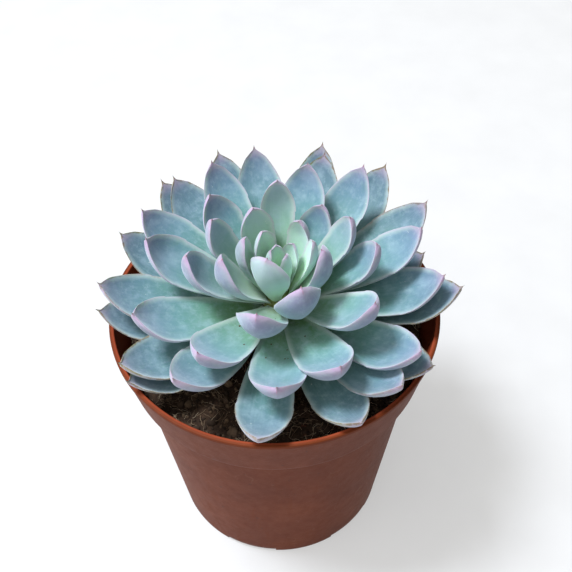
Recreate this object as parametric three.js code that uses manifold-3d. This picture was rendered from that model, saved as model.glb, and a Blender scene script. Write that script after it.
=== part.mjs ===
// A rosette succulent in a round plastic nursery pot, in millimetres, +Z up.
// The origin is the centre of the pot's base, on the surface that the pot stands on.
import * as THREE from "three";
import { mergeVertices } from "three/addons/utils/BufferGeometryUtils.js";
import Module from "manifold-3d";

const wasm = await Module();
wasm.setup();

// Pot: a moulded 12 cm nursery pot, wider at the top, with a deep collar under the rim.
const RIM_RADIUS = 60;
const POT_HEIGHT = 108;
const BASE_RADIUS = 43.5;
const COLLAR_HEIGHT = 24.5;
const COLLAR_FOOT_RADIUS = 56;
const SHOULDER_RADIUS = 52.5;
const WALL = 1.6;
const FLOOR_THICKNESS = 3;
const FOOT_SLOTS = 6;
const FOOT_SLOT_WIDTH = 21;
const FOOT_SLOT_HEIGHT = 2;
const FOOT_SLOT_DEPTH = 6;
const FIRST_FOOT_SLOT = 252;
const DRAIN_HOLES = 6;
const DRAIN_RADIUS = 5;
const DRAIN_CIRCLE = 27;
const POT_SIDES = 60;

// Soil: peat mix filled to a little under the rim, mounded towards the plant's neck.
const SOIL_DROP = 13;
const SOIL_MOUND = 3;
const SOIL_SIDES = 36;

// Rosette: it leans a little towards -Y, and its leaves follow the golden-angle spiral from the
// heart outwards, so a leaf's place in the spiral gives its direction, stance and size.
const GAP = 0.3;
const LEAN = 10;
const ROSETTE_X = 2;
const ROSETTE_Y = -3;
const GOLDEN_ANGLE = 137.508;
const FIRST_AZIMUTH = 192;
const LAST_PLACE = 61;
const STEM_TOP = 14.5;
const STEM_FOOT = 1.5;
const STEM_RADIUS = 6;
const ROOT_STUB = 22;
const HOOK_START = 0.75;
const LEAF_RINGS = 9;
const LEAF_SIDES = 10;
const STEM_SIDES = 16;

// The bud in the middle is the three youngest leaves, still closed round the growing point.
const BUD_PLACES = [-2, -1, 0];
const BUD_LEAF = { start: 0.8, root: STEM_TOP + 0.6, length: 23, halfWidth: 3.1, pitch: 1.5 };
// Places in the spiral whose leaf was shed or never grew to size.
const EMPTY_PLACES = [2, 6, 7, 10, 19, 23, 36, 52, 57, 59];
// Where neighbours or light have pushed a leaf round, in degrees.
const SWAY = {
  0: -20, 1: -18, 5: 14, 9: 13, 13: -6, 14: 22, 16: 3, 17: 7, 18: 17, 22: 7, 25: 8, 26: 16, 27: -6,
  28: -9, 29: 5, 30: -15, 31: 18, 32: 6, 33: -13, 34: 4, 35: -7, 37: 7, 38: -11, 40: 6, 41: -4,
  42: 5, 43: -11, 45: 5, 46: 8, 51: -5, 53: 5, 55: -4, 58: -6, 60: -9, 61: -10,
};
// Leaves that grew longer or shorter than their place gives them.
const STRETCH = {
  1: 0.78, 14: 1.12, 20: 1.1, 21: 0.95, 22: 0.76, 24: 0.9, 25: 0.88, 27: 0.95, 30: 1.05, 33: 1.08,
  39: 0.95, 42: 1.06, 43: 1.05, 46: 1.04, 49: 0.95, 51: 0.85, 53: 1.07, 54: 0.94, 56: 1.09,
  58: 1.05, 60: 0.95, 61: 1.1,
};
// Leaves that stand higher or hang lower than their place gives them, in degrees.
const LIFT = {
  1: -4, 4: -7, 5: 2, 8: 2, 9: 6, 12: 6, 15: 5, 20: -7, 21: 2, 22: 3, 25: 6, 26: -6, 28: -3,
  30: -3, 33: -5, 38: -2, 39: 2, 49: 2, 54: 2, 56: 2, 58: 2, 60: 2, 61: 3,
};
// Leaves that grew broader or narrower than their place gives them.
const BREADTH = {
  3: 1.15, 4: 0.85, 5: 1.45, 8: 0.75, 9: 0.68, 11: 0.88, 12: 1.02, 14: 0.76, 16: 0.74, 17: 0.68,
  21: 0.85, 22: 0.7, 24: 0.86, 25: 0.76, 27: 0.88, 30: 0.88, 32: 0.84, 35: 0.88, 40: 0.92,
};

const radians = THREE.MathUtils.degToRad;

function finish(color, roughness) {
  return new THREE.MeshStandardMaterial({ color, roughness, metalness: 0 });
}

const POT_PLASTIC = finish(0x9a4a32, 0.55);
const PEAT = finish(0x2b211b, 1);
const STEM_SKIN = finish(0x7d8a52, 0.7);
const YOUNG_LEAF = finish(0xa9d6b8, 0.5);
const OLD_LEAF = finish(0x6fa3a8, 0.5);

// The closed solid that a geometry's merged vertices bound.
function solidOf(geometry) {
  const bare = geometry.clone();
  bare.deleteAttribute("normal");
  bare.deleteAttribute("uv");
  const merged = mergeVertices(bare, 1e-4);
  const vertProperties = new Float32Array(merged.attributes.position.array);
  const triVerts = new Uint32Array(merged.index.array);
  return new wasm.Manifold(new wasm.Mesh({ numProp: 3, vertProperties, triVerts }));
}

function geometryOf(solid) {
  const mesh = solid.getMesh();
  const geometry = new THREE.BufferGeometry();
  geometry.setAttribute("position", new THREE.BufferAttribute(mesh.vertProperties, 3));
  geometry.setIndex(new THREE.BufferAttribute(mesh.triVerts, 1));
  geometry.computeVertexNormals();
  return geometry;
}

function named(name, geometry, material) {
  const mesh = new THREE.Mesh(geometry, material);
  mesh.name = name;
  return mesh;
}

// A body turned about Z from points [radius, height], given from the bottom up.
function turned(points, sides) {
  const profile = points.map(([radius, height]) => new THREE.Vector2(radius, height));
  return new THREE.LatheGeometry(profile, sides).rotateX(Math.PI / 2);
}

// The pot's outer radius at a height between the base and the collar.
function bodyRadius(height) {
  const shoulder = POT_HEIGHT - COLLAR_HEIGHT;
  return BASE_RADIUS + ((SHOULDER_RADIUS - BASE_RADIUS) * height) / shoulder;
}

function nurseryPot() {
  const shoulder = POT_HEIGHT - COLLAR_HEIGHT;
  const step = COLLAR_FOOT_RADIUS - SHOULDER_RADIUS;
  const shell = turned(
    [
      [0, 0],
      [BASE_RADIUS - 0.8, 0],
      [BASE_RADIUS, 0.8],
      [SHOULDER_RADIUS, shoulder],
      [COLLAR_FOOT_RADIUS, shoulder + step],
      [RIM_RADIUS, POT_HEIGHT - 1],
      [RIM_RADIUS - 0.6, POT_HEIGHT],
      [RIM_RADIUS - 2, POT_HEIGHT],
      [RIM_RADIUS - 2.6, POT_HEIGHT - 1],
      [COLLAR_FOOT_RADIUS - WALL, shoulder + step + 1],
      [SHOULDER_RADIUS - WALL, shoulder],
      [bodyRadius(FLOOR_THICKNESS) - WALL, FLOOR_THICKNESS],
      [0, FLOOR_THICKNESS],
    ],
    POT_SIDES,
  );
  let pot = solidOf(shell);
  for (let i = 0; i < DRAIN_HOLES; i++) {
    const hole = new THREE.CylinderGeometry(DRAIN_RADIUS, DRAIN_RADIUS, 20, 16);
    hole.rotateX(Math.PI / 2).translate(DRAIN_CIRCLE, 0, 0);
    pot = pot.subtract(solidOf(hole.rotateZ((2 * Math.PI * i) / DRAIN_HOLES)));
  }
  for (let i = 0; i < FOOT_SLOTS; i++) {
    const slot = new THREE.BoxGeometry(2 * FOOT_SLOT_DEPTH, FOOT_SLOT_WIDTH, 2 * FOOT_SLOT_HEIGHT);
    const angle = radians(FIRST_FOOT_SLOT) + (2 * Math.PI * i) / FOOT_SLOTS;
    pot = pot.subtract(solidOf(slot.translate(BASE_RADIUS, 0, 0).rotateZ(angle)));
  }
  return named("nursery_pot", geometryOf(pot), POT_PLASTIC);
}

const SOIL_EDGE = POT_HEIGHT - SOIL_DROP;

function pottingSoil() {
  const floor = FLOOR_THICKNESS + GAP;
  const shoulder = POT_HEIGHT - COLLAR_HEIGHT;
  const collar = COLLAR_FOOT_RADIUS - SHOULDER_RADIUS;
  const wall = WALL + 2 * GAP;
  const top = COLLAR_FOOT_RADIUS - wall;
  return turned(
    [
      [0, floor],
      [bodyRadius(floor) - wall, floor],
      [SHOULDER_RADIUS - wall, shoulder],
      [top, shoulder + collar + 1],
      [top, SOIL_EDGE],
      [top * 0.6, SOIL_EDGE + SOIL_MOUND * 0.7],
      [top * 0.3, SOIL_EDGE + SOIL_MOUND],
      [0, SOIL_EDGE + SOIL_MOUND],
    ],
    SOIL_SIDES,
  );
}

// The rosette's own frame: its origin is on its axis, level with the pot's rim.
function rosetteFrame() {
  const group = new THREE.Group();
  group.position.set(ROSETTE_X, ROSETTE_Y, POT_HEIGHT);
  group.rotation.x = radians(LEAN);
  return group;
}

// The stem's radius where the leaf at a place in the spiral joins it: the top is a low dome.
function stemRadius(place) {
  return 1 + (STEM_RADIUS - 1) * Math.min(1, Math.pow(Math.max(0, place) / 24, 0.6));
}

// The height on the stem where the leaf at a place in the spiral joins it.
function rootHeight(place) {
  return STEM_TOP - ((STEM_TOP - STEM_FOOT) * Math.max(0, place)) / LAST_PLACE;
}

// The stem: a short thick neck inside the leaves, and the stub that roots in the soil. With a
// margin it is the socket that the stub leaves in the soil.
function stemSolid(margin) {
  const dome = [24, 12, 5, 1].map((place) => [stemRadius(place) + margin, rootHeight(place)]);
  const neck = turned(
    [
      [0, -SOIL_DROP + 2],
      [STEM_RADIUS + margin, -SOIL_DROP + 2],
      ...dome,
      [0, STEM_TOP],
    ],
    STEM_SIDES,
  );
  const frame = rosetteFrame();
  frame.updateMatrix();
  neck.applyMatrix4(frame.matrix);
  const stub = turned(
    [
      [0, -ROOT_STUB],
      [STEM_RADIUS * 0.4 + margin, -ROOT_STUB],
      [STEM_RADIUS * 0.95 + margin, 0],
      [0, STEM_RADIUS],
    ],
    STEM_SIDES,
  );
  const foot = new THREE.Vector3(0, 0, -SOIL_DROP + 4).applyMatrix4(frame.matrix);
  stub.translate(foot.x, foot.y, foot.z);
  return solidOf(neck).add(solidOf(stub));
}

// The leaf's sizes and stance at a place in the spiral, in the rosette's frame.
function leafAt(place) {
  const age = Math.max(0, place);
  const pitch = 6 + 80 * Math.exp(-Math.pow(age / 30, 1.55)) + (LIFT[place] ?? 0);
  const open = 1 - Math.exp(-Math.pow(age / 12, 1.3));
  const dry = Math.max(0, age - 42) / (LAST_PLACE - 42);
  return {
    azimuth: FIRST_AZIMUTH - GOLDEN_ANGLE * place + (SWAY[place] ?? 0),
    root: rootHeight(place),
    start: stemRadius(place) + 2 * GAP,
    pitch: radians(pitch),
    length: (59.3 - 29.7 * Math.exp(-Math.pow(age / 30, 2))) * (STRETCH[place] ?? 1),
    baseHalfWidth: 2.2 + 0.9 * open,
    halfWidth: (3.5 + 5.8 * open) * (BREADTH[place] ?? 1),
    baseThickness: 0.9 + 0.6 * open,
    thickness: 1.8 + 3.6 * open - 1.2 * dry,
    rise: 1.8 - 0.5 * open,
    cup: 0.4 - 0.12 * open,
    curl: 0.12 + 0.12 * open,
    hook: 0.04 * open,
  };
}

// Half the leaf's width, from its base (u = 0) to its tip (u = 1).
function halfWidth(leaf, u) {
  const widest = 0.66;
  if (u > widest) {
    return leaf.halfWidth * Math.pow(1 - Math.pow((u - widest) / (1 - widest), 2.4), 0.68);
  }
  const rise = Math.pow(Math.sin((Math.PI / 2) * (u / widest)), leaf.rise);
  return leaf.baseHalfWidth + (leaf.halfWidth - leaf.baseHalfWidth) * rise;
}

// The leaf's thickness, which is greatest a little beyond the middle.
function thickness(leaf, u) {
  const fullest = 0.58;
  const rise = u < fullest ? u / fullest : (1 - u) / (1 - fullest);
  const swell = Math.pow(Math.sin((Math.PI / 2) * rise), 0.8);
  const thin = u < fullest ? leaf.baseThickness : 0.5;
  return thin + (leaf.thickness - thin) * swell;
}

// A point of the midrib: almost straight along the leaf's chord, then turned up, and hooked
// at the tip.
function midrib(leaf, u) {
  const along = leaf.length * u;
  const hooked = Math.max(0, (u - HOOK_START) / (1 - HOOK_START));
  const bow = leaf.curl * (Math.pow(u, 4) - u) + leaf.hook * (Math.pow(hooked, 2) - u);
  const sag = leaf.length * bow;
  const bend = (2 * hooked) / (1 - HOOK_START) - 1;
  const slope = leaf.curl * (4 * Math.pow(u, 3) - 1) + leaf.hook * bend;
  return {
    r: leaf.start + along * Math.cos(leaf.pitch) - sag * Math.sin(leaf.pitch),
    z: leaf.root + along * Math.sin(leaf.pitch) + sag * Math.cos(leaf.pitch),
    angle: leaf.pitch + Math.atan(slope),
  };
}

// One leaf: rings of points round a spoon-shaped section, closed at the root and the tip. A
// margin gives the leaf grown by that much all round.
function leafGeometry(leaf, margin = 0) {
  const points = [];
  const ring = (u) => {
    const rib = midrib(leaf, u);
    const wide = halfWidth(leaf, u) + margin;
    const deep = thickness(leaf, u);
    const cup = leaf.cup * wide;
    for (let k = 0; k < LEAF_SIDES; k++) {
      const turn = (2 * Math.PI * k) / LEAF_SIDES;
      const across = Math.cos(turn);
      const lift = cup * across * across;
      const body = Math.sin(turn) > 0 ? 0.12 : 0.88;
      const height = lift + (deep * body + margin) * Math.sin(turn);
      const r = rib.r - height * Math.sin(rib.angle);
      const z = rib.z + height * Math.cos(rib.angle);
      points.push(r, wide * across, z);
    }
  };
  for (let i = 0; i < LEAF_RINGS; i++) ring((0.97 * i) / (LEAF_RINGS - 1));
  const root = midrib(leaf, 0);
  const tip = midrib(leaf, 1);
  points.push(root.r, 0, root.z, tip.r, 0, tip.z);
  const rootIndex = LEAF_RINGS * LEAF_SIDES;
  const faces = [];
  for (let k = 0; k < LEAF_SIDES; k++) {
    const next = (k + 1) % LEAF_SIDES;
    const last = (LEAF_RINGS - 1) * LEAF_SIDES;
    faces.push(rootIndex, next, k, rootIndex + 1, last + k, last + next);
    for (let i = 0; i < LEAF_RINGS - 1; i++) {
      const here = i * LEAF_SIDES;
      const there = here + LEAF_SIDES;
      faces.push(here + k, here + next, there + next, here + k, there + next, there + k);
    }
  }
  const geometry = new THREE.BufferGeometry();
  geometry.setAttribute("position", new THREE.Float32BufferAttribute(points, 3));
  geometry.setIndex(faces);
  geometry.computeVertexNormals();
  return geometry;
}

function leafColour(place) {
  const material = YOUNG_LEAF.clone();
  material.color.lerp(OLD_LEAF.color, Math.min(1, (2 * Math.max(0, place)) / LAST_PLACE));
  return material;
}

function leafSolid(leaf, margin) {
  return solidOf(leafGeometry(leaf, margin).rotateZ(radians(leaf.azimuth)));
}

// The leaves from the youngest to the oldest. Where a leaf lies on an older one it presses its
// own shape into it, so each is cut back from the younger leaves above it.
function leafMeshes() {
  const above = [];
  const meshes = [];
  for (let place = 1; place <= LAST_PLACE; place++) {
    if (EMPTY_PLACES.includes(place)) continue;
    const leaf = leafAt(place);
    let solid = leafSolid(leaf, 0);
    for (const pressing of above) {
      if (solid.intersect(pressing).isEmpty()) continue;
      const pieces = solid.subtract(pressing).decompose();
      solid = pieces.reduce((most, piece) => (piece.volume() > most.volume() ? piece : most));
    }
    above.push(leafSolid(leaf, GAP));
    const name = `leaf_${String(above.length).padStart(2, "0")}`;
    meshes.push(named(name, geometryOf(solid), leafColour(place)));
  }
  return meshes;
}

// The bud's leaves are joined into one solid with the growing point that they stand on.
function heartBud() {
  const leaves = BUD_PLACES.map((place) => {
    const leaf = leafAt(place);
    return leafSolid({ ...leaf, ...BUD_LEAF }, 0);
  });
  const point = new THREE.SphereGeometry(1.4, 12, 8).translate(0, 0, STEM_TOP + 1.4 + GAP);
  const bud = leaves.reduce((whole, leaf) => whole.add(leaf), solidOf(point));
  return named("heart_bud", geometryOf(bud), leafColour(0));
}

const part = new THREE.Group();
part.add(nurseryPot());
const soil = solidOf(pottingSoil()).subtract(stemSolid(GAP));
part.add(named("potting_soil", geometryOf(soil), PEAT));
part.add(named("stem", geometryOf(stemSolid(0)), STEM_SKIN));

const rosette = rosetteFrame();
rosette.add(heartBud(), ...leafMeshes());
part.add(rosette);

export default part;
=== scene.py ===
import math
import random

import bmesh
import bpy
from mathutils import Matrix, Vector, noise
from mathutils.bvhtree import BVHTree


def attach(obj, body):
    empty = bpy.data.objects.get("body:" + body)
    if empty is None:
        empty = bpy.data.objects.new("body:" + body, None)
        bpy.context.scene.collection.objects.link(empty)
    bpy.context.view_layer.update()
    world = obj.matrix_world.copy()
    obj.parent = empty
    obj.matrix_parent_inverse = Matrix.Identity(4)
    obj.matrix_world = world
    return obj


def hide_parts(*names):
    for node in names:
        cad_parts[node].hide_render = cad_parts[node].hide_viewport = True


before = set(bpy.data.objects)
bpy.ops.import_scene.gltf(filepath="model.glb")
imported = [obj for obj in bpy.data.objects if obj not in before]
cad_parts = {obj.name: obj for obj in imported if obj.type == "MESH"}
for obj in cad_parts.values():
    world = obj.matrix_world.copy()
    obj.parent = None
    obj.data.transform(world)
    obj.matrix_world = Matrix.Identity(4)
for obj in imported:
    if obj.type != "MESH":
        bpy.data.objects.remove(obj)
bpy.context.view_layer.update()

# --- Nursery pot ---------------------------------------------------------------------------
# A 12 cm grower's pot, injection moulded in thin terracotta-coloured polypropylene. Its body
# tapers to the foot, a deep collar stiffens the top, and the rim is a small rolled bead.
# The foot has six low slots and the floor six holes, so that water can drain.
MM = 0.001
RIM_RADIUS = 60 * MM
POT_HEIGHT = 108 * MM
BASE_RADIUS = 43.5 * MM
SHOULDER_RADIUS = 52.5 * MM
SHOULDER_HEIGHT = 83.5 * MM
COLLAR_FOOT_RADIUS = 56 * MM
COLLAR_FOOT_HEIGHT = 87 * MM
WALL = 1.6 * MM
FLOOR_THICKNESS = 3 * MM
OPENINGS = 6
DRAIN_RADIUS = 5 * MM
DRAIN_CIRCLE = 27 * MM
FIRST_FOOT_SLOT = math.radians(252)
FOOT_SLOT_WIDTH = 21 * MM
FOOT_SLOT_HEIGHT = 2 * MM
POT_SIDES = 192


def srgb(red, green, blue):
    """A display colour, 0 to 255, as the linear colour with alpha that sockets take."""
    parts = [value / 255 for value in (red, green, blue)]
    line = [p / 12.92 if p < 0.04045 else ((p + 0.055) / 1.055) ** 2.4 for p in parts]
    return (*line, 1.0)


def node(tree, kind, inputs=None, **settings):
    """A new node with its settings, and its inputs joined to a socket or set to a value."""
    made = tree.nodes.new(kind)
    for name, value in settings.items():
        setattr(made, name, value)
    for name, value in (inputs or {}).items():
        if isinstance(value, Measure):
            value = value.socket
        if isinstance(value, bpy.types.NodeSocket):
            tree.links.new(value, made.inputs[name])
        else:
            made.inputs[name].default_value = value
    return made


class Measure:
    """A number carried through a node tree, so that a formula on it reads as a formula."""

    def __init__(self, tree, socket):
        self.tree = tree
        self.socket = socket

    def worked(self, operation, *others):
        inputs = dict(enumerate((self, *others)))
        made = node(self.tree, "ShaderNodeMath", inputs, operation=operation)
        return Measure(self.tree, made.outputs[0])

    def __add__(self, other):
        return self.worked("ADD", other)

    def __mul__(self, other):
        return self.worked("MULTIPLY", other)

    def __sub__(self, other):
        return self.worked("SUBTRACT", other)

    def __truediv__(self, other):
        return self.worked("DIVIDE", other)

    def __pow__(self, other):
        return self.worked("POWER", other)

    def __rsub__(self, other):
        return self * -1 + other

    def __rtruediv__(self, other):
        return self**-1 * other

    __radd__ = __add__
    __rmul__ = __mul__

    def least(self, other):
        return self.worked("MINIMUM", other)

    def most(self, other):
        return self.worked("MAXIMUM", other)

    def over(self, other):
        return self.worked("GREATER_THAN", other)

    def eased(self, start, end):
        """0 below start and 1 above end, with a smooth step between them."""
        inputs = {"Value": self, "From Min": start, "From Max": end}
        kind = {"interpolation_type": "SMOOTHSTEP"}
        made = node(self.tree, "ShaderNodeMapRange", inputs, **kind)
        return Measure(self.tree, made.outputs[0])


def mixed(tree, factor, first, second):
    """A colour between two."""
    made = node(tree, "ShaderNodeMix", data_type="RGBA")
    for slot, value in ((0, factor), (6, first), (7, second)):
        if isinstance(value, Measure):
            value = value.socket
        if isinstance(value, bpy.types.NodeSocket):
            tree.links.new(value, made.inputs[slot])
        else:
            made.inputs[slot].default_value = value
    return made.outputs[2]


def shaded_along(tree, factor, stops):
    """A colour read off a ramp of (place, colour) stops."""
    made = node(tree, "ShaderNodeValToRGB", {"Fac": factor})
    band = made.color_ramp
    band.elements[0].position, band.elements[0].color = stops[0]
    band.elements[1].position, band.elements[1].color = stops[-1]
    for place, colour in stops[1:-1]:
        band.elements.new(place).color = colour
    return made.outputs["Color"]


def grain(tree, vector, scale, detail=3.0, roughness=0.55, distortion=0.0):
    """Noise from 0 to 1 on that vector."""
    inputs = {"Vector": vector, "Scale": scale, "Detail": detail}
    inputs |= {"Roughness": roughness, "Distortion": distortion}
    return Measure(tree, node(tree, "ShaderNodeTexNoise", inputs).outputs["Fac"])


def written(tree, name):
    """A number that the mesh carries as a named attribute."""
    made = node(tree, "ShaderNodeAttribute", attribute_type="GEOMETRY", attribute_name=name)
    return Measure(tree, made.outputs["Fac"])


def finish(name, **constants):
    """A new material: its tree, its shader, and its place in the object's own frame."""
    material = bpy.data.materials.new(name)
    material.use_nodes = True
    tree = material.node_tree
    shader = tree.nodes["Principled BSDF"]
    for socket, value in constants.items():
        shader.inputs[socket.replace("_", " ")].default_value = value
    place = node(tree, "ShaderNodeTexCoord").outputs["Object"]
    return material, tree, shader, place


def embossed(tree, shader, height, distance):
    """The height pattern pressed into the surface."""
    bump = node(tree, "ShaderNodeBump", {"Height": height, "Distance": distance})
    tree.links.new(bump.outputs[0], shader.inputs["Normal"])


def terracotta_plastic():
    """Moulded polypropylene, mottled and scuffed outside; the inner wall is painted in a
    brighter, more orange copy of it, which is painted light.
    """
    made = finish("terracotta_plastic", Specular_IOR_Level=0.13)
    material, tree, shader, place = made
    inside = written(tree, "inside")
    cloud = grain(tree, place, 38, 4)
    mottle = grain(tree, place, 260, 5, 0.65)
    outer = shaded_along(
        tree,
        cloud,
        [(0.3, srgb(93, 38, 11)), (0.52, srgb(101, 43, 14)), (0.75, srgb(111, 51, 21))],
    )
    outer = mixed(tree, mottle.eased(0.35, 0.8) * 0.3, outer, srgb(76, 34, 20))
    tall = node(tree, "ShaderNodeMapping", {"Vector": place, "Scale": (1, 1, 0.16)})
    smear = grain(tree, tall.outputs[0], 190, 4, 0.7).eased(0.52, 0.78)
    outer = mixed(tree, smear * 0.2, outer, srgb(118, 72, 54))
    crack = {"Vector": place, "Scale": 95.0, "Randomness": 1.0}
    warped = grain(tree, place, 60, 2)
    bent = node(tree, "ShaderNodeVectorMath", operation="MULTIPLY_ADD")
    tree.links.new(place, bent.inputs[0])
    bent.inputs[1].default_value = (1, 1, 1)
    shift = {0: warped * 0.02, 1: warped * -0.015, 2: warped * 0.02}
    shift = node(tree, "ShaderNodeCombineXYZ", shift)
    tree.links.new(shift.outputs[0], bent.inputs[2])
    crack["Vector"] = bent.outputs[0]
    cell = node(tree, "ShaderNodeTexVoronoi", crack, feature="DISTANCE_TO_EDGE")
    scratch = (1 - Measure(tree, cell.outputs["Distance"]).eased(0.0, 0.022)) * grain(
        tree, place, 55, 2
    ).eased(0.56, 0.66)
    outer = mixed(tree, scratch * 0.14, outer, srgb(150, 110, 92))
    specks = grain(tree, place, 420, 1).eased(0.74, 0.78)
    outer = mixed(tree, specks * 0.6, outer, srgb(70, 38, 28))
    # Painted light: the inner wall takes this brighter, more orange copy of the plastic, lighter
    # than the outside.
    inner = shaded_along(
        tree, cloud, [(0.3, srgb(120, 50, 28)), (0.7, srgb(143, 66, 40))]
    )
    tree.links.new(mixed(tree, inside, outer, inner), shader.inputs["Base Color"])
    tree.links.new((0.46 + mottle * 0.22 + smear * 0.1).socket, shader.inputs["Roughness"])
    height = grain(tree, place, 1400, 3) + cloud * 0.8 + scratch * -0.2
    embossed(tree, shader, height, 0.00006)
    return material


def rounded(corners):
    """The outline (radius, height, rounding) with each corner turned into an arc."""
    outline = []
    last = len(corners) - 1
    for i, (radius, height, round_by) in enumerate(corners):
        here = Vector((radius, height))
        if i in (0, last) or round_by == 0:
            outline.append(here)
            continue
        before = Vector(corners[i - 1][:2]) - here
        after = Vector(corners[i + 1][:2]) - here
        cut = min(round_by, before.length * 0.45, after.length * 0.45)
        start = here + before.normalized() * cut
        end = here + after.normalized() * cut
        for step in range(5):
            t = step / 4
            outline.append(start * (1 - t) ** 2 + here * 2 * t * (1 - t) + end * t**2)
    return outline


def turned(name, outline, sides):
    """A closed mesh turned about Z from an outline that starts and ends on the axis."""
    points = [Vector((0, 0, outline[0].y))]
    for spot in outline[1:-1]:
        for k in range(sides):
            angle = 2 * math.pi * k / sides
            points.append(Vector((spot.x * math.cos(angle), spot.x * math.sin(angle), spot.y)))
    points.append(Vector((0, 0, outline[-1].y)))
    rows = len(outline) - 2
    faces = []
    for k in range(sides):
        after = (k + 1) % sides
        faces.append((0, 1 + after, 1 + k))
        top = 1 + (rows - 1) * sides
        faces.append((len(points) - 1, top + k, top + after))
        for row in range(rows - 1):
            low = 1 + row * sides
            high = low + sides
            faces.append((low + k, low + after, high + after, high + k))
    mesh = bpy.data.meshes.new(name)
    mesh.from_pydata(points, [], faces)
    mesh.shade_smooth()
    return mesh


def piece(name, mesh, material=None):
    """The mesh as an object of that name at the origin."""
    made = bpy.data.objects.new(name, mesh)
    bpy.context.scene.collection.objects.link(made)
    if material:
        mesh.materials.clear()
        mesh.materials.append(material)
    return made


def settled(made):
    """The object's modifiers worked into its mesh."""
    graph = bpy.context.evaluated_depsgraph_get()
    mesh = bpy.data.meshes.new_from_object(made.evaluated_get(graph), depsgraph=graph)
    made.modifiers.clear()
    made.data = mesh
    return made


def out_at(mesh, angle, reach):
    """The mesh moved out from the pot's axis in the direction of the angle."""
    mesh.transform(Matrix.Rotation(angle, 4, "Z") @ Matrix.Translation((reach, 0, 0)))
    return mesh


def hole_cutter(radius, low, high):
    """What a drain hole takes away: a round bar."""
    corners = [(0, low), (radius, low), (radius, high), (0, high)]
    return turned("drill", [Vector(corner) for corner in corners], 32)


def slot_cutter(depth, width, low, high):
    """What a foot slot takes away: a block through the wall."""
    block = bpy.data.meshes.new("block")
    half = width / 2
    ends = [(x, y, z) for x in (-depth, depth) for y in (-half, half) for z in (low, high)]
    sides = [(0, 1, 3, 2), (4, 6, 7, 5), (0, 4, 5, 1)]
    sides += [(2, 3, 7, 6), (0, 2, 6, 4), (1, 5, 7, 3)]
    block.from_pydata(ends, [], sides)
    return block


pot_outline = rounded(
    [
        (0, 0, 0),
        (BASE_RADIUS, 0, 0.9 * MM),
        (BASE_RADIUS + 0.4 * MM, 4 * MM, 0),
        (SHOULDER_RADIUS, SHOULDER_HEIGHT, 2 * MM),
        (COLLAR_FOOT_RADIUS, COLLAR_FOOT_HEIGHT, 1.6 * MM),
        (RIM_RADIUS - 0.5 * MM, POT_HEIGHT - 2.1 * MM, 0.3 * MM),
        (RIM_RADIUS, POT_HEIGHT - 1.7 * MM, 0.3 * MM),
        (RIM_RADIUS, POT_HEIGHT, 0.5 * MM),
        (RIM_RADIUS - 1.7 * MM, POT_HEIGHT, 0.5 * MM),
        (RIM_RADIUS - 2 * MM, POT_HEIGHT - 2 * MM, 0.6 * MM),
        (COLLAR_FOOT_RADIUS - WALL, COLLAR_FOOT_HEIGHT + 1 * MM, 1.5 * MM),
        (SHOULDER_RADIUS - WALL, SHOULDER_HEIGHT, 1.5 * MM),
        (BASE_RADIUS - WALL, FLOOR_THICKNESS, 1.5 * MM),
        (0, FLOOR_THICKNESS, 0),
    ]
)
pot = piece("pot_shell", turned("pot_shell", pot_outline, POT_SIDES))
cutters = []
for turn in range(OPENINGS):
    drain = math.tau * turn / OPENINGS
    slot = FIRST_FOOT_SLOT + drain
    hole = hole_cutter(DRAIN_RADIUS, -3 * FLOOR_THICKNESS, 3 * FLOOR_THICKNESS)
    cutters.append(out_at(hole, drain, DRAIN_CIRCLE))
    block = slot_cutter(6 * MM, FOOT_SLOT_WIDTH, -FLOOR_THICKNESS, FOOT_SLOT_HEIGHT)
    cutters.append(out_at(block, slot, BASE_RADIUS))
cutters = [piece("cutter", mesh) for mesh in cutters]
for cutter in cutters:
    cut = pot.modifiers.new("cut", "BOOLEAN")
    cut.operation = "DIFFERENCE"
    cut.object = cutter
settled(pot)
for cutter in cutters:
    bpy.data.objects.remove(cutter)
pot.data.materials.clear()
pot.data.materials.append(terracotta_plastic())
# Marks the inner wall, which the material paints in its brighter copy of the plastic: painted
# light.
inside = pot.data.attributes.new("inside", "FLOAT", "POINT")
for vertex in pot.data.vertices:
    x, y, z = vertex.co
    up = (z - COLLAR_FOOT_HEIGHT) / (POT_HEIGHT - COLLAR_FOOT_HEIGHT)
    body = BASE_RADIUS + (SHOULDER_RADIUS - BASE_RADIUS) * z / SHOULDER_HEIGHT
    outer = COLLAR_FOOT_RADIUS + 3.8 * MM * up if up > 0 else body
    within = z > FOOT_SLOT_HEIGHT and math.hypot(x, y) < outer - 0.7 * MM
    inside.data[vertex.index].value = 1.0 if within else 0.0
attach(pot, "root")
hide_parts("nursery_pot")

# --- Potting soil --------------------------------------------------------------------------
# Dark peat mix, filled to a finger's breadth under the rim and slightly mounded to the neck of
# the plant. Its surface is loose: crumbs, small clods, bark chips, and curly tan root fibres.
SOIL_EDGE = 95 * MM
SOIL_MOUND = 3 * MM
SOIL_RADIUS = 53.6 * MM
CRUMBS_PER_M2 = 170000
CLODS_PER_M2 = 16000
CHIPS_PER_M2 = 5200
FIBRES_PER_M2 = 95000
HAIRS_PER_M2 = 60000
SOIL_SIDES = 180
SOIL_RINGS = 60


def peat():
    """Peat: nearly black, with browner crumbs."""
    material, tree, shader, place = finish("peat_mix", Roughness=0.95, Specular_IOR_Level=0.15)
    coarse = grain(tree, place, 240, 5, 0.7)
    fine = grain(tree, place, 1500, 3, 0.7)
    stops = [(0.25, srgb(24, 18, 15)), (0.5, srgb(52, 39, 31)), (0.8, srgb(96, 75, 58))]
    colour = shaded_along(tree, coarse * 0.6 + fine * 0.4, stops)
    tree.links.new(colour, shader.inputs["Base Color"])
    embossed(tree, shader, coarse + fine * 0.5, 0.0006)
    return material


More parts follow.
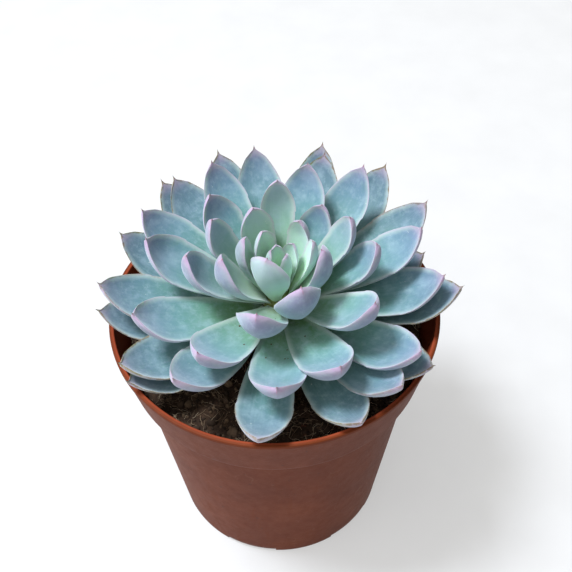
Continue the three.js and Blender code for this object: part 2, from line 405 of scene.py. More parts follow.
def loose_matter(name, stops, roughness):
    """Crumbs, chips or fibres: each one takes its own tone from the ramp."""
    material, tree, shader, place = finish(name, Roughness=roughness, Specular_IOR_Level=0.2)
    fine = grain(tree, place, 1800, 3, 0.7)
    tone = written(tree, "tone") * 0.8 + fine * 0.3 - 0.05
    tree.links.new(shaded_along(tree, tone, stops), shader.inputs["Base Color"])
    embossed(tree, shader, fine, 0.0002)
    return material


def soil_height(x, y):
    """The height of the loose surface at a point."""
    out = math.hypot(x, y) / SOIL_RADIUS
    mound = SOIL_MOUND * (1 - out * out)
    spot = Vector((x, y, 0))
    lumps = noise.fractal(spot * 120, 0.9, 2.1, 5) * 1.5 * MM
    return SOIL_EDGE + mound + lumps * (1 - 0.4 * out) - 0.6 * MM


def soil_mesh():
    """A closed body of soil: the loose surface on top, the pot's inside below."""
    rings = [Vector((r * SOIL_RADIUS / SOIL_RINGS, 0)) for r in range(SOIL_RINGS, 0, -1)]
    low = [(0, 3.3), (41.3, 3.3), (50.2, 83.5), (53.6, 88)]
    outline = [Vector((r, z)) * MM for r, z in low] + rings + [Vector((0, 0))]
    mesh = turned("peat_bed", outline, SOIL_SIDES)
    first = 1 + (len(low) - 1) * SOIL_SIDES
    for vertex in list(mesh.vertices)[first:]:
        vertex.co.z = soil_height(vertex.co.x, vertex.co.y)
    return mesh


def scattering(name, density, seed, material, build, least, most):
    """A tree that scatters what build makes over the top of a body, each turned and sized."""
    tree = bpy.data.node_groups.new(name, "GeometryNodeTree")
    face = tree.interface
    face.new_socket("Geometry", in_out="INPUT", socket_type="NodeSocketGeometry")
    for label, value in (("Density", density), ("Least Size", least), ("Most Size", most)):
        socket = face.new_socket(label, in_out="INPUT", socket_type="NodeSocketFloat")
        socket.default_value = value
    face.new_socket("Geometry", in_out="OUTPUT", socket_type="NodeSocketGeometry")
    given = node(tree, "NodeGroupInput")
    normal = node(tree, "GeometryNodeInputNormal").outputs[0]
    normal = node(tree, "ShaderNodeSeparateXYZ", {0: normal})
    upward = Measure(tree, normal.outputs["Z"]).over(0.35)
    spread = node(
        tree,
        "GeometryNodeDistributePointsOnFaces",
        {
            "Mesh": given.outputs["Geometry"],
            "Selection": upward,
            "Density": given.outputs["Density"],
            "Seed": seed,
        },
    )
    tone = node(tree, "FunctionNodeRandomValue", {"Seed": seed + 1}, data_type="FLOAT")
    marked = node(
        tree,
        "GeometryNodeStoreNamedAttribute",
        {"Geometry": spread.outputs["Points"], "Name": "tone", "Value": tone.outputs[1]},
    )
    angles = node(
        tree,
        "FunctionNodeRandomValue",
        {0: (-0.5, -0.5, 0), 1: (0.5, 0.5, math.tau), "Seed": seed + 2},
        data_type="FLOAT_VECTOR",
    )
    sizes = {2: given.outputs["Least Size"], 3: given.outputs["Most Size"], "Seed": seed + 3}
    size = node(tree, "FunctionNodeRandomValue", sizes, data_type="FLOAT")
    placed = node(
        tree,
        "GeometryNodeInstanceOnPoints",
        {
            "Points": marked.outputs[0],
            "Instance": build(tree),
            "Rotation": angles.outputs[0],
            "Scale": size.outputs[1],
        },
    )
    real = node(tree, "GeometryNodeRealizeInstances", {"Geometry": placed.outputs[0]})
    return tree, real.outputs[0]


def roughened(tree, geometry, scale, amount, lift=0.0):
    """Every point pushed about by noise, so that no two copies are alike."""
    here = node(tree, "GeometryNodeInputPosition").outputs[0]
    cloud = node(tree, "ShaderNodeTexNoise", {"Vector": here, "Scale": scale, "Detail": 1.0})
    centred = node(
        tree,
        "ShaderNodeVectorMath",
        {0: cloud.outputs["Color"], 1: (0.5, 0.5, 0.5 - lift)},
        operation="SUBTRACT",
    )
    offset = node(
        tree,
        "ShaderNodeVectorMath",
        {0: centred.outputs[0], 1: (amount, amount, amount)},
        operation="MULTIPLY",
    )
    pushed = node(
        tree, "GeometryNodeSetPosition", {"Geometry": geometry, "Offset": offset.outputs[0]}
    )
    return pushed.outputs[0]


def kept_inside(tree, geometry):
    """Nothing reaches past the soil's edge: what would is laid against the pot's wall."""
    here = node(tree, "GeometryNodeInputPosition").outputs[0]
    parts = node(tree, "ShaderNodeSeparateXYZ", {0: here})
    x, y = (Measure(tree, parts.outputs[axis]) for axis in ("X", "Y"))
    out = (x * x + y * y).worked("SQRT")
    pull = (SOIL_RADIUS / out.most(1 * MM)).least(1.0)
    spot = {0: x * pull, 1: y * pull, 2: parts.outputs["Z"]}
    spot = node(tree, "ShaderNodeCombineXYZ", spot).outputs[0]
    inputs = {"Geometry": geometry, "Position": spot}
    return node(tree, "GeometryNodeSetPosition", inputs).outputs[0]


def finished(tree, geometry, material):
    """The tree's end: smooth faces and the material."""
    smooth = node(tree, "GeometryNodeSetShadeSmooth", {"Geometry": geometry})
    coated = node(
        tree, "GeometryNodeSetMaterial", {"Geometry": smooth.outputs[0], "Material": material}
    )
    node(tree, "NodeGroupOutput", {"Geometry": coated.outputs[0]})
    return tree


def lump(tree):
    return node(tree, "GeometryNodeMeshIcoSphere", {"Radius": 1.0, "Subdivisions": 1}).outputs[0]


def clod(tree):
    return node(tree, "GeometryNodeMeshIcoSphere", {"Radius": 1.0, "Subdivisions": 2}).outputs[0]


def chip(tree):
    cube = node(tree, "GeometryNodeMeshCube", {"Size": (2.0, 1.1, 0.35), "Vertices X": 3})
    return cube.outputs[0]


def strand(tree):
    ends = {"Start": (-0.5, 0, 0.06), "End": (0.5, 0, 0.06)}
    line = node(tree, "GeometryNodeCurvePrimitiveLine", ends)
    cut = node(tree, "GeometryNodeResampleCurve", {"Curve": line.outputs[0], "Count": 10})
    return cut.outputs[0]


def scattered(name, tree, bed):
    """The tree run over the soil, as a plain mesh of its own."""
    made = piece(name, bed.data.copy())
    made.modifiers.new("scatter", "NODES").node_group = tree
    settled(made)
    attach(made, "root")
    return made


soil = piece("peat_bed", soil_mesh(), peat())
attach(soil, "root")
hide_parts("potting_soil")

dark = [(0.0, srgb(24, 18, 15)), (0.5, srgb(62, 49, 40)), (1.0, srgb(118, 98, 78))]
bark = [(0.0, srgb(58, 32, 22)), (0.6, srgb(104, 60, 40)), (1.0, srgb(140, 100, 72))]
straw = [(0.0, srgb(74, 58, 44)), (0.5, srgb(142, 122, 100)), (1.0, srgb(196, 182, 160))]
crumb_skin = loose_matter("peat_crumb", dark, 0.95)
chip_skin = loose_matter("bark_chip", bark, 0.8)
fibre_skin = loose_matter("root_fibre", straw, 0.7)

tree, crumbs = scattering("peat_crumbs", CRUMBS_PER_M2, 3, crumb_skin, lump, 0.35 * MM, 1.0 * MM)
scattered("peat_crumbs", finished(tree, roughened(tree, crumbs, 700, 0.8 * MM), crumb_skin), soil)
tree, clods = scattering("peat_clods", CLODS_PER_M2, 17, crumb_skin, clod, 1.1 * MM, 2.3 * MM)
scattered("peat_clods", finished(tree, roughened(tree, clods, 420, 2.2 * MM), crumb_skin), soil)
tree, chips = scattering("bark_chips", CHIPS_PER_M2, 29, chip_skin, chip, 1.0 * MM, 2.2 * MM)
scattered("bark_chips", finished(tree, roughened(tree, chips, 300, 1.0 * MM), chip_skin), soil)


def threads(name, density, seed, thickness, longest, curl, lift):
    """Curly fibres lying on the soil: lines bent by noise and given a thickness."""
    tree, lines = scattering(
        name, density, seed, fibre_skin, strand, 0.4 * longest, longest
    )
    bent = roughened(tree, lines, 130, curl, lift)
    bent = kept_inside(tree, roughened(tree, bent, 420, curl * 0.35))
    round_profile = {"Radius": thickness / 2, "Resolution": 4}
    profile = node(tree, "GeometryNodeCurvePrimitiveCircle", round_profile)
    ends = {"Curve": bent, "Profile Curve": profile.outputs[0], "Fill Caps": True}
    tube = node(tree, "GeometryNodeCurveToMesh", ends)
    return scattered(name, finished(tree, tube.outputs[0], fibre_skin), soil)


threads("root_fibres", FIBRES_PER_M2, 41, 0.17 * MM, 6 * MM, 6 * MM, 0.04)
threads("fine_hairs", HAIRS_PER_M2, 53, 0.09 * MM, 9 * MM, 10 * MM, 0.05)

# --- Stem ----------------------------------------------------------------------------------
# The plant's short thick neck, pale green and corky, ringed by the scars of shed leaves. Its
# foot roots in the soil, and it leans a little, with the rosette.
GAP = 0.3 * MM
STEM_TOP = 14.5 * MM
STEM_FOOT = 1.5 * MM
STEM_RADIUS = 6 * MM
LAST_PLACE = 61
LEAN = math.radians(10)
rosette_foot = Matrix.Translation((2 * MM, -3 * MM, POT_HEIGHT))
rosette_frame = rosette_foot @ Matrix.Rotation(LEAN, 4, "X")


def stem_radius(place):
    """The stem's radius where the leaf at a place in the spiral joins it."""
    return 1 * MM + (STEM_RADIUS - 1 * MM) * min(1, (max(0, place) / 24) ** 0.6)


def root_height(place):
    """The height on the stem where the leaf at a place in the spiral joins it."""
    return STEM_TOP - (STEM_TOP - STEM_FOOT) * max(0, place) / LAST_PLACE


def stem_skin():
    """Corky green skin with brown scars."""
    material, tree, shader, place = finish("corky_stem", Roughness=0.8, Specular_IOR_Level=0.2)
    cork = grain(tree, place, 500, 4, 0.7)
    stops = [(0.3, srgb(96, 84, 48)), (0.5, srgb(128, 140, 84)), (0.75, srgb(162, 176, 120))]
    tree.links.new(shaded_along(tree, cork, stops), shader.inputs["Base Color"])
    embossed(tree, shader, cork, 0.0004)
    return material


neck = [(0, -12), (5.4, -12), (5.7, -8), (6.0, -3)]
neck = [Vector((r, z)) * MM for r, z in neck]
neck += [Vector((stem_radius(p), root_height(p))) for p in (40, 32, 24, 18, 12, 8, 5, 2, 1)]
neck.append(Vector((0, STEM_TOP)))
stem_mesh = turned("stem_neck", rounded([(*spot, 0.8 * MM) for spot in neck]), 48)
for vertex in stem_mesh.vertices:
    x, y, z = vertex.co
    scar = math.cos(7 * math.atan2(y, x) + z * 900) * math.cos(z * 1900)
    vertex.co.xy *= 1 - 0.035 * abs(scar)
stem_mesh.transform(rosette_frame)
stem = piece("stem_neck", stem_mesh, stem_skin())
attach(stem, "root")
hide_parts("stem")

# --- Leaves --------------------------------------------------------------------------------
# Thick spoon-shaped leaves, firm with water, under a powdery wax that makes the green look blue.
# Each grows a golden angle round the stem from the one before, so its place in the spiral gives
# its direction, stance and size. The youngest stand upright in the heart.
GOLDEN_ANGLE = 137.508
FIRST_AZIMUTH = 192
# Places in the spiral whose leaf was shed or never grew to size.
EMPTY_PLACES = (2, 6, 7, 10, 19, 23, 36, 52, 57, 59)
# Where neighbours or light have pushed a leaf round, in degrees.
SWAY = {
    0: -20, 1: -18, 5: 14, 9: 13, 13: -6, 14: 22, 16: 3, 17: 7, 18: 17, 22: 7, 25: 8, 26: 16,
    27: -6, 28: -9, 29: 5, 30: -15, 31: 18, 32: 6, 33: -13, 34: 4, 35: -7, 37: 7, 38: -11,
    40: 6, 41: -4, 42: 5, 43: -11, 45: 5, 46: 8, 51: -5, 53: 5, 55: -4, 58: -6, 60: -9, 61: -10,
}
# Leaves that grew longer or shorter than their place gives them, as a factor.
STRETCH = {
    1: 0.78, 14: 1.12, 20: 1.1, 21: 0.95, 22: 0.76, 24: 0.9, 25: 0.88, 27: 0.95, 30: 1.05,
    33: 1.08, 39: 0.95, 42: 1.06, 43: 1.05, 46: 1.04, 49: 0.95, 51: 0.85, 53: 1.07, 54: 0.94,
    56: 1.09, 58: 1.05, 60: 0.95, 61: 1.1,
}
# Leaves that stand higher or hang lower than their place gives them, in degrees.
LIFT = {
    1: -4, 4: -7, 5: 2, 8: 2, 9: 6, 12: 6, 15: 5, 20: -7, 21: 2, 22: 3, 25: 6, 26: -6, 28: -3,
    30: -3, 33: -5, 38: -2, 39: 2, 49: 2, 54: 2, 56: 2, 58: 2, 60: 2, 61: 3,
}
# Leaves that grew broader or narrower than their place gives them, as a factor.
BREADTH = {
    3: 1.15, 4: 0.85, 5: 1.45, 8: 0.75, 9: 0.68, 11: 0.88, 12: 1.02, 14: 0.76, 16: 0.74,
    17: 0.68, 21: 0.85, 22: 0.7, 24: 0.86, 25: 0.76, 27: 0.88, 30: 0.88, 32: 0.84, 35: 0.88,
    40: 0.92,
}


def waxy_leaf():
    """Leaf skin: blue-green under a pale bloom, with a milky margin edged in pink, a lilac back
    towards the tip, a dark point, and dry brown margins on the oldest leaves."""
    made = finish(
        "waxy_leaf",
        Specular_IOR_Level=0.3,
        Subsurface_Weight=0.18,
        Subsurface_Radius=(0.55, 1.0, 0.4),
        Subsurface_Scale=0.003,
        Sheen_Weight=0.5,
        Sheen_Roughness=0.55,
        Sheen_Tint=(0.8, 0.9, 1.0, 1.0),
    )
    material, tree, shader, place = made
    along = written(tree, "along")
    across = written(tree, "across")
    margin = written(tree, "margin")
    upper = written(tree, "upper")
    age = written(tree, "age")
    lot = written(tree, "lot")
    bloom = grain(tree, place, 130, 4, 0.6)
    fine = grain(tree, place, 900, 3, 0.6)
    lengths = node(tree, "ShaderNodeCombineXYZ", {0: along * 2.2, 1: across * 14, 2: lot * 60})
    veins = grain(tree, lengths.outputs[0], 1.0, 3, 0.6)
    # Partly painted shade: the upper face darkens and greens towards the base, where the leaves
    # above cast their shadows, and partly the thinner bloom there.
    face = shaded_along(
        tree,
        along + bloom * 0.12 - 0.06,
        [
            (0.0, srgb(78, 112, 38)),
            (0.2, srgb(80, 126, 70)),
            (0.38, srgb(88, 138, 116)),
            (0.6, srgb(92, 140, 144)),
            (0.84, srgb(98, 131, 156)),
            (1.0, srgb(116, 126, 164)),
        ],
    )
    # The youngest leaves are pale mint, and this mint is lifted brighter still: painted light,
    # for the glow through the young leaves in the shaded heart.
    mint = shaded_along(
        tree,
        along,
        [(0.0, srgb(200, 236, 150)), (0.5, srgb(202, 242, 204)), (1.0, srgb(196, 228, 222))],
    )
    face = mixed(tree, 1 - age.eased(0.02, 0.36), face, mint)
    face = mixed(tree, age.eased(0.42, 0.85) * 0.6, face, srgb(58, 94, 100))
    back = shaded_along(
        tree,
        along + bloom * 0.16 - 0.08,
        [
            (0.0, srgb(140, 172, 92)),
            (0.35, srgb(126, 164, 128)),
            (0.62, srgb(114, 146, 154)),
            (0.82, srgb(116, 126, 156)),
            (1.0, srgb(132, 120, 154)),
        ],
    )
    # The young leaves' backs take the same mint, with its painted light.
    back = mixed(tree, (1 - age.eased(0.0, 0.2)) * 0.6, back, mint)
    skin = mixed(tree, upper, back, face)
    powder = grain(tree, place, 380, 5, 0.7)
    skin = mixed(tree, powder.eased(0.45, 0.75) * 0.3, skin, srgb(166, 190, 200))
    skin = mixed(tree, (1 - powder.eased(0.28, 0.46)) * 0.14, skin, srgb(76, 118, 104))
    skin = mixed(tree, veins.eased(0.35, 0.75) * 0.07, skin, srgb(176, 196, 200))
    skin = mixed(tree, bloom.eased(0.45, 0.72) * 0.3, skin, srgb(160, 186, 202))
    skin = mixed(tree, (1 - bloom.eased(0.25, 0.45)) * 0.2, skin, srgb(84, 130, 108))
    # The milky margin, then the pink edge that strengthens to the tip.
    wander = fine * 0.5 * MM + bloom * 0.8 * MM
    fresh = 1 - age.eased(0.1, 0.6) * 0.45
    milky = (1 - (margin + wander).eased(0.9 * MM, 2.9 * MM)) * 0.75 * fresh
    skin = mixed(tree, milky * (0.3 + 0.7 * upper), skin, srgb(192, 206, 202))
    ripe = 0.2 + 0.8 * along.eased(0.3, 0.95)
    pink = (1 - (margin + wander * 0.6).eased(0.3 * MM, 1.4 * MM)) * ripe * 0.62
    pink = pink * (1 - age.eased(0.55, 0.9) * 0.8)
    skin = mixed(tree, pink, skin, srgb(176, 156, 184))
    blush = along.eased(0.9, 0.985) * 0.6
    skin = mixed(tree, blush, skin, srgb(160, 128, 164))
    keel = (1 - across.worked("ABSOLUTE").eased(0.02, 0.12)) * (1 - upper)
    keel = keel * along.eased(0.93, 0.97)
    skin = mixed(tree, keel * 0.5, skin, srgb(168, 90, 116))
    point = along.eased(0.972, 0.99)
    skin = mixed(tree, point * 0.85, skin, srgb(146, 74, 92))
    # Dry, ragged brown margins on the oldest leaves, and dust and pits here and there.
    ragged = grain(tree, place, 420, 4, 0.75)
    dry = (1 - (margin + ragged * 2.6 * MM).eased(1.3 * MM, 1.9 * MM)) * age.eased(0.6, 0.78)
    dry = dry * along.eased(0.35, 0.75)
    skin = mixed(tree, dry * 0.8, skin, srgb(136, 116, 84))
    crust = (1 - (margin + ragged * 1.4 * MM).eased(0.7 * MM, 1.0 * MM)) * age.eased(0.6, 0.78)
    skin = mixed(tree, crust * along.eased(0.6, 0.85) * 0.7, skin, srgb(92, 72, 52))
    tired = (1 - upper) * age.eased(0.6, 0.85) * grain(tree, place, 100, 2).eased(0.35, 0.6)
    skin = mixed(tree, tired * 0.45, skin, srgb(170, 164, 112))
    spots = grain(tree, place, 800, 2, 0.6)
    dust = spots.eased(0.7, 0.76) * grain(tree, place, 60, 2).eased(0.52, 0.66)
    skin = mixed(tree, dust * 0.6, skin, srgb(226, 228, 220))
    pits = (1 - spots.eased(0.2, 0.27)) * age.eased(0.3, 0.9)
    skin = mixed(tree, pits * 0.5, skin, srgb(52, 74, 70))
    tree.links.new(skin, shader.inputs["Base Color"])
    gloss = 0.5 + bloom * 0.16 - pink * 0.1 + dry * 0.25
    tree.links.new(gloss.socket, shader.inputs["Roughness"])
    embossed(tree, shader, fine * 0.6 + veins * 0.9 + dry * -1.2, 0.00009)
    return material


def leaf_tree(material):
    """The tree that grows one leaf from its sizes, in its own frame on the stem's axis."""
    tree = bpy.data.node_groups.new("spoon_leaf", "GeometryNodeTree")
    labels = "Length,Half Width,Base Half Width,Thickness,Base Thickness,Rise,Cup,Curl,Hook"
    labels += ",Start,Root,Pitch,Azimuth,Point,Wave,Age,Lot"
    for label in labels.split(","):
        tree.interface.new_socket(label, in_out="INPUT", socket_type="NodeSocketFloat")
    tree.interface.new_socket("Leaf", in_out="OUTPUT", socket_type="NodeSocketGeometry")
    given = node(tree, "NodeGroupInput")

    def size(label):
        return Measure(tree, given.outputs[label])

    length, wide, thick = size("Length"), size("Half Width"), size("Thickness")
    base_wide, base_thick = size("Base Half Width"), size("Base Thickness")
    net = {"Size X": 1.0, "Size Y": 1.0, "Vertices X": 73, "Vertices Y": 49}
    sheet = node(tree, "GeometryNodeMeshGrid", net)
    spot = node(tree, "ShaderNodeSeparateXYZ", {0: sheet.outputs["UV Map"]})
    u = 1 - (1 - Measure(tree, spot.outputs["X"])) ** 1.6
    turn = Measure(tree, spot.outputs["Y"]) * math.tau
    side = turn.worked("COSINE")
    rise_up = turn.worked("SINE")

    def half_width(u):
        """Narrow at the base, widest at two thirds, then blunt, with a small drawn-out point."""
        widest, blunt = 0.66, 0.92
        swell = (u / widest).least(1.0) * (math.pi / 2)
        inner = base_wide + (wide - base_wide) * swell.worked("SINE") ** size("Rise")
        beyond = ((u - widest) / (1 - widest) / blunt).most(0.0).least(1.0)
        outer = wide * (1 - beyond**2.1) ** 0.74
        drawn = size("Point") * ((1 - u) / ((1 - widest) * 0.2)).least(1.0) ** 1.5
        drawn = drawn * u.over(widest)
        body = inner * (1 - u.over(widest)) + outer * u.over(widest)
        return (body * body + drawn * drawn).worked("SQRT")

    here = half_width(u)
    slope = (half_width((u + 0.004).least(1.0)) - half_width(u - 0.004)) / (length * 0.008)
    fullest = 0.58
    near = (u / fullest).least(1.0)
    far = ((1 - u) / (1 - fullest)).least(1.0)
    swell = (near.least(far) * (math.pi / 2)).worked("SINE") ** 0.8
    thin = base_thick * (1 - u.over(fullest)) + u.over(fullest) * 0.35 * MM
    deep = (thin + (thick - thin) * swell).least(here * 1.15)
    # The section: a shallow channel above, a full keeled back below, meeting at a firm edge.
    flat = side * side
    hump = (1 - flat).most(0.0)
    top = deep * 0.1 * hump
    keel = 1 - (side.worked("ABSOLUTE") / 0.45).least(1.0)
    below = deep * 0.88 * (hump**0.62 * 0.93 + keel * keel * 0.07)
    above = rise_up.over(0.0)
    edge = (deep * 0.05).least(0.16 * MM) * rise_up
    height = size("Cup") * here * flat + top * above - below * (1 - above) + edge
    # The midrib: almost straight, then turned up, and hooked at the tip.
    hooked = ((u - 0.75) / 0.25).most(0.0)
    bow = size("Curl") * (u**4 - u) + size("Hook") * (hooked**2 - u)
    sag = length * bow
    slant = size("Curl") * (u**3 * 4 - 1) + size("Hook") * (hooked * 8 - 1)
    lean = size("Pitch") + slant.worked("ARCTANGENT")
    pitch_cos, pitch_sin = size("Pitch").worked("COSINE"), size("Pitch").worked("SINE")
    rib_out = size("Start") + length * u * pitch_cos - sag * pitch_sin
    rib_up = size("Root") + length * u * pitch_sin + sag * pitch_cos
    # A slow wave runs through the blade, strongest at the margins.
    seeded = node(tree, "ShaderNodeCombineXYZ", {0: u * 3.4, 1: side * 1.2, 2: size("Lot") * 40})
    wave = grain(tree, seeded.outputs[0], 1.0, 2) - 0.5
    height = height + wave * size("Wave") * (0.35 + flat)
    out = rib_out - height * lean.worked("SINE")
    up = rib_up + height * lean.worked("COSINE")
    sideways = here * side
    azimuth_cos, azimuth_sin = size("Azimuth").worked("COSINE"), size("Azimuth").worked("SINE")
    place = node(
        tree,
        "ShaderNodeCombineXYZ",
        {
            0: out * azimuth_cos - sideways * azimuth_sin,
            1: out * azimuth_sin + sideways * azimuth_cos,
            2: up,
        },
    )
    inset = (here - sideways.worked("ABSOLUTE")) / (slope * slope + 1).worked("SQRT")
    marks = {
        "along": u,
        "across": side,
        "margin": inset,
        "upper": rise_up.eased(-0.05, 0.05),
        "age": size("Age"),
        "lot": size("Lot"),
    }
    shape = sheet.outputs["Mesh"]
    for name, value in marks.items():
        inputs = {"Geometry": shape, "Name": name, "Value": value}
        shape = node(tree, "GeometryNodeStoreNamedAttribute", inputs).outputs[0]
    inputs = {"Geometry": shape, "Position": place.outputs[0]}
    shape = node(tree, "GeometryNodeSetPosition", inputs).outputs[0]
    inputs = {"Geometry": shape, "Distance": 0.004 * MM}
    shape = node(tree, "GeometryNodeMergeByDistance", inputs).outputs[0]
    shape = node(tree, "GeometryNodeRealizeInstances", {"Geometry": shape}).outputs[0]
    shape = node(tree, "GeometryNodeSetShadeSmooth", {"Geometry": shape}).outputs[0]
    inputs = {"Geometry": shape, "Material": material}
    shape = node(tree, "GeometryNodeSetMaterial", inputs).outputs[0]
    node(tree, "NodeGroupOutput", {"Leaf": shape})
    return tree


def leaf_sizes(place):
    """The leaf's sizes and stance at a place in the spiral, by the names of the tree's inputs."""
    age = max(0, place)
    open_by = 1 - math.exp(-((age / 12) ** 1.3))
    dry = max(0, age - 42) / (LAST_PLACE - 42)
    pitch = 6 + 80 * math.exp(-((age / 30) ** 1.55)) + LIFT.get(place, 0)
    azimuth = FIRST_AZIMUTH - GOLDEN_ANGLE * place + SWAY.get(place, 0)
    return {
        "Azimuth": math.radians(azimuth),
        "Root": root_height(place),
        "Start": stem_radius(place) + 2 * GAP,
        "Pitch": math.radians(pitch),
        "Length": (59.3 - 29.7 * math.exp(-((age / 30) ** 2))) * STRETCH.get(place, 1) * MM,
        "Base Half Width": (2.2 + 0.9 * open_by) * MM,
        "Half Width": (3.5 + 5.8 * open_by) * BREADTH.get(place, 1) * MM,
        "Base Thickness": (0.9 + 0.6 * open_by) * MM,
        "Thickness": (1.8 + 3.6 * open_by - 1.2 * dry) * MM,
        "Rise": 1.8 - 0.5 * open_by,
        "Cup": 0.4 - 0.12 * open_by,
        "Curl": 0.12 + 0.12 * open_by,
        "Hook": 0.04 * open_by,
        "Point": (1.2 + 1.1 * open_by) * MM,
        "Wave": (0.3 + 0.7 * age / LAST_PLACE) * MM,
        "Age": age / LAST_PLACE,
        "Lot": (place * 0.618) % 1,
    }


def planted(tree, name, sizes):
    """An object that carries the tree with those sizes."""
    carrier = piece(name, bpy.data.meshes.new(name))
    grower = carrier.modifiers.new("grower", "NODES")
    grower.node_group = tree
    for socket in tree.interface.items_tree:
        if socket.in_out == "INPUT":
            grower[socket.identifier] = sizes[socket.name]
    return carrier


def pressed(mesh, back, others):
    """The mesh pushed back out of the leaves that lie on it, as a soft leaf gives way."""
    for tree, low, high in others:
        for vertex in mesh.vertices:
            spot = vertex.co
            if any(spot[i] < low[i] or spot[i] > high[i] for i in range(3)):
                continue
            exit_at, normal, _, _ = tree.ray_cast(spot - back * 0.15 * MM, back)
            if exit_at and normal.dot(back) > 0:
                vertex.co = exit_at + back * 0.15 * MM


def surface_of(mesh):
    """What presses on other leaves: the mesh's surface and its box."""
    mesh.calc_loop_triangles()
    corners = [vertex.co.copy() for vertex in mesh.vertices]
    triangles = [tuple(triangle.vertices) for triangle in mesh.loop_triangles]
    reach = Vector((1, 1, 1)) * 0.2 * MM
    low = Vector([min(c[i] for c in corners) for i in range(3)]) - reach
    high = Vector([max(c[i] for c in corners) for i in range(3)]) + reach
    return BVHTree.FromPolygons(corners, triangles), low, high


leaf_skin = waxy_leaf()
spoon_leaf = leaf_tree(leaf_skin)
BUD = {
    "Start": 0.8 * MM,
    "Root": STEM_TOP + 0.6 * MM,
    "Length": 23 * MM,
    "Half Width": 3.1 * MM,
    "Pitch": 1.5,
}
bud_leaves = [
    planted(spoon_leaf, "bud_leaf", leaf_sizes(place) | BUD) for place in (-2, -1, 0)
]
places = [p for p in range(1, LAST_PLACE + 1) if p not in EMPTY_PLACES]
leaves = [
    planted(spoon_leaf, f"leaf_{number:02d}_skin", leaf_sizes(place))
    for number, place in enumerate(places, 1)
]
for leaf in bud_leaves + leaves:
    settled(leaf).data.transform(rosette_frame)
above = [surface_of(leaf.data) for leaf in bud_leaves]
for number, (place, leaf) in enumerate(zip(places, leaves), 1):
    sizes = leaf_sizes(place)
    turn = rosette_frame.to_3x3() @ Matrix.Rotation(sizes["Azimuth"], 3, "Z")
    back = turn @ Vector((math.sin(sizes["Pitch"]), 0, -math.cos(sizes["Pitch"])))
    pressed(leaf.data, back, above)
    above.append(surface_of(leaf.data))
    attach(leaf, "root")
    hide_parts(f"leaf_{number:02d}")

bpy.ops.object.select_all(action="DESELECT")
for leaf in bud_leaves:
    leaf.select_set(True)
bpy.context.view_layer.objects.active = bud_leaves[0]
bpy.ops.object.join()
bud = bud_leaves[0]
bud.name = "heart_bud_skin"
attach(bud, "root")
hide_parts("heart_bud")

# --- Fallen bits ---------------------------------------------------------------------------
# What collects in a pot: some of the plant's own shed leaves, dried thin and brown on the soil
# under the rosette, and crumbs of peat that were spilled on the front leaves in potting.
def parched():
    """Papery dead leaf: tan, streaked and blotched with brown."""
    material, tree, shader, place = finish("parched_leaf", Roughness=0.75, Specular_IOR_Level=0.2)
    blotch = grain(tree, place, 260, 4, 0.7)
    lengths = {0: written(tree, "along") * 1.5, 1: written(tree, "across") * 16}
    lengths = node(tree, "ShaderNodeCombineXYZ", lengths).outputs[0]
    streak = grain(tree, lengths, 1.0, 4, 0.7)
    stops = [(0.25, srgb(66, 44, 28)), (0.5, srgb(126, 98, 66)), (0.8, srgb(176, 152, 114))]
    colour = shaded_along(tree, streak * 0.6 + blotch * 0.4, stops)
    tree.links.new(colour, shader.inputs["Base Color"])
    embossed(tree, shader, streak + blotch * 0.5, 0.0004)
    return material


dead_leaf = leaf_tree(parched())
for number, (heading, inner, pitch, length) in enumerate(
    [(11, 28, 14, 30), (86, 24, 10, 27), (168, 22, 8, 29), (297, 20, 5, 24)], 1
):
    shrunk = leaf_sizes(50) | {
        "Azimuth": math.radians(heading),
        "Start": inner * MM,
        "Root": SOIL_EDGE + 3.5 * MM,
        "Pitch": math.radians(pitch),
        "Length": length * MM,
        "Half Width": 4.6 * MM,
        "Base Half Width": 1.6 * MM,
        "Thickness": 0.8 * MM,
        "Base Thickness": 0.6 * MM,
        "Cup": 0.75,
        "Curl": -0.1,
        "Wave": 4 * MM,
        "Lot": number * 0.37 % 1,
    }
    dead = settled(planted(dead_leaf, f"dead_leaf_{number}", shrunk))
    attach(dead, "root")

dice = random.Random(7)
spill = bmesh.new()
for place, count in ((18, 2), (28, 2), (31, 5), (26, 2)):
    blade = leaves[places.index(place)].data
    along = blade.attributes["along"].data
    upper = blade.attributes["upper"].data
    across = blade.attributes["across"].data
    spots = [
        vertex.co
        for vertex in blade.vertices
        if upper[vertex.index].value > 0.9
        and 0.3 < along[vertex.index].value < 0.5
        and abs(across[vertex.index].value) < 0.6
    ]
    for spot in dice.sample(spots, count):
        crumb = dice.uniform(0.12, 0.4) * MM
        turn = Matrix.Rotation(dice.uniform(0, math.tau), 4, "Z")
        squash = Matrix.Diagonal((1, dice.uniform(0.6, 1), 0.6, 1))
        lie = Matrix.Translation(spot + Vector((0, 0, crumb * 0.3))) @ turn @ squash
        bmesh.ops.create_icosphere(spill, subdivisions=2, radius=crumb, matrix=lie)
for vertex in spill.verts:
    vertex.co += noise.noise_vector(vertex.co * 1500) * 0.12 * MM
spilled = bpy.data.meshes.new("spilled_crumbs")
spill.to_mesh(spilled)
spilled.shade_smooth()
spilled.attributes.new("tone", "FLOAT", "POINT").data.foreach_set(
    "value", [0.75] * len(spilled.vertices)
)
crumbs_on_leaves = piece("spilled_crumbs", spilled, crumb_skin)
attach(crumbs_on_leaves, "root")

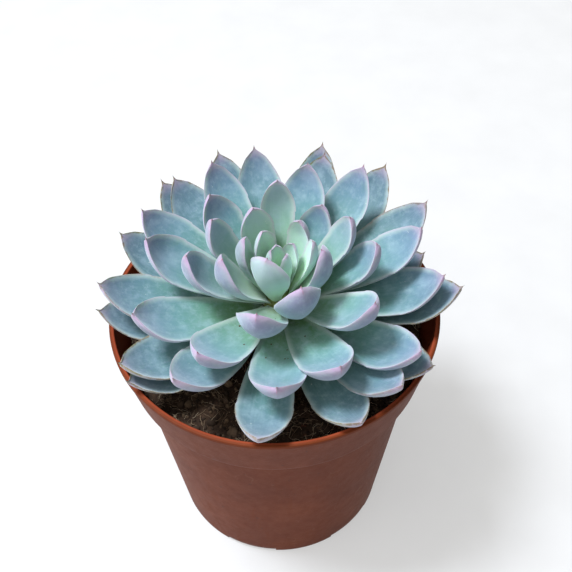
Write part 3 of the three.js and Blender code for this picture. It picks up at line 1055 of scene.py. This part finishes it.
# --- Floor, light and camera ---------------------------------------------------------------
# A plain white table under one soft lamp, high up and to the left, in a bright room. The table
# gives off a little light of its own, so that it stays white outside the plant's shadow.
floor_mesh = bpy.data.meshes.new("table_top")
reach = 3.0
corners = [(-reach, -reach, 0), (reach, -reach, 0), (reach, reach, 0), (-reach, reach, 0)]
floor_mesh.from_pydata(corners, [], [(0, 1, 2, 3)])
paint, tree, shader, place = finish("white_table", Roughness=0.7, Specular_IOR_Level=0.2)
tone = shaded_along(
    tree, grain(tree, place, 30, 3), [(0.3, srgb(150, 151, 154)), (0.7, srgb(156, 157, 160))]
)
tree.links.new(tone, shader.inputs["Base Color"])
shader.inputs["Emission Color"].default_value = (1, 1, 1, 1)
shader.inputs["Emission Strength"].default_value = 0.45
floor = piece("table_top", floor_mesh, paint)


def lamp(name, direction, distance, size, energy, colour):
    """A square soft lamp that shines on the plant from that direction."""
    light = bpy.data.lights.new(name, "AREA")
    light.size = size
    light.energy = energy
    light.color = colour
    made = bpy.data.objects.new(name, light)
    bpy.context.scene.collection.objects.link(made)
    aim = Vector((0, 0, 0.08))
    made.location = aim + Vector(direction).normalized() * distance
    made.rotation_euler = (aim - made.location).to_track_quat("-Z", "Y").to_euler()
    return made


lamp("key_lamp", (-0.4, 0.0, 1.0), 1.3, 0.3, 22, (0.92, 0.96, 1.0))
# The room's light comes from the ceiling, most from the front left, and dies to the walls.
world = bpy.data.worlds.new("bright_room")
world.use_nodes = True
tree = world.node_tree
toward = node(tree, "ShaderNodeTexCoord").outputs["Generated"]
ceiling = {0: toward, 1: Vector((-0.72, -0.42, 1.0)).normalized()}
height = node(tree, "ShaderNodeVectorMath", ceiling, operation="DOT_PRODUCT").outputs["Value"]
glow = Measure(tree, height).most(0.0) ** 2 * 1.75 + 0.1
tree.links.new(glow.socket, tree.nodes["Background"].inputs["Strength"])
tree.nodes["Background"].inputs["Color"].default_value = (1, 0.995, 0.94, 1)
bpy.context.scene.world = world
bpy.context.scene.view_settings.view_transform = "Standard"

ELEVATION = math.radians(48.68)
DISTANCE = 310.05 * MM
YAW, PITCH, ROLL = (math.radians(angle) for angle in (1.213, -1.256, -1.159))
seat = Vector((0, -DISTANCE * math.cos(ELEVATION), DISTANCE * math.sin(ELEVATION) + POT_HEIGHT))
down = ELEVATION + PITCH
forward = Vector(
    (math.sin(YAW) * math.cos(down), math.cos(YAW) * math.cos(down), -math.sin(down))
)
level = forward.cross(Vector((0, 0, 1))).normalized()
upright = level.cross(forward)
right = level * math.cos(ROLL) + upright * math.sin(ROLL)
top = upright * math.cos(ROLL) - level * math.sin(ROLL)
camera = bpy.data.objects.new("camera", bpy.data.cameras.new("camera"))
bpy.context.scene.collection.objects.link(camera)
camera.data.lens = 53.5
camera.data.sensor_width = 36
camera.data.clip_start = 0.01
turned_to = Matrix((right, top, -forward)).transposed().to_4x4()
camera.matrix_world = Matrix.Translation(seat) @ turned_to
bpy.context.scene.camera = camera
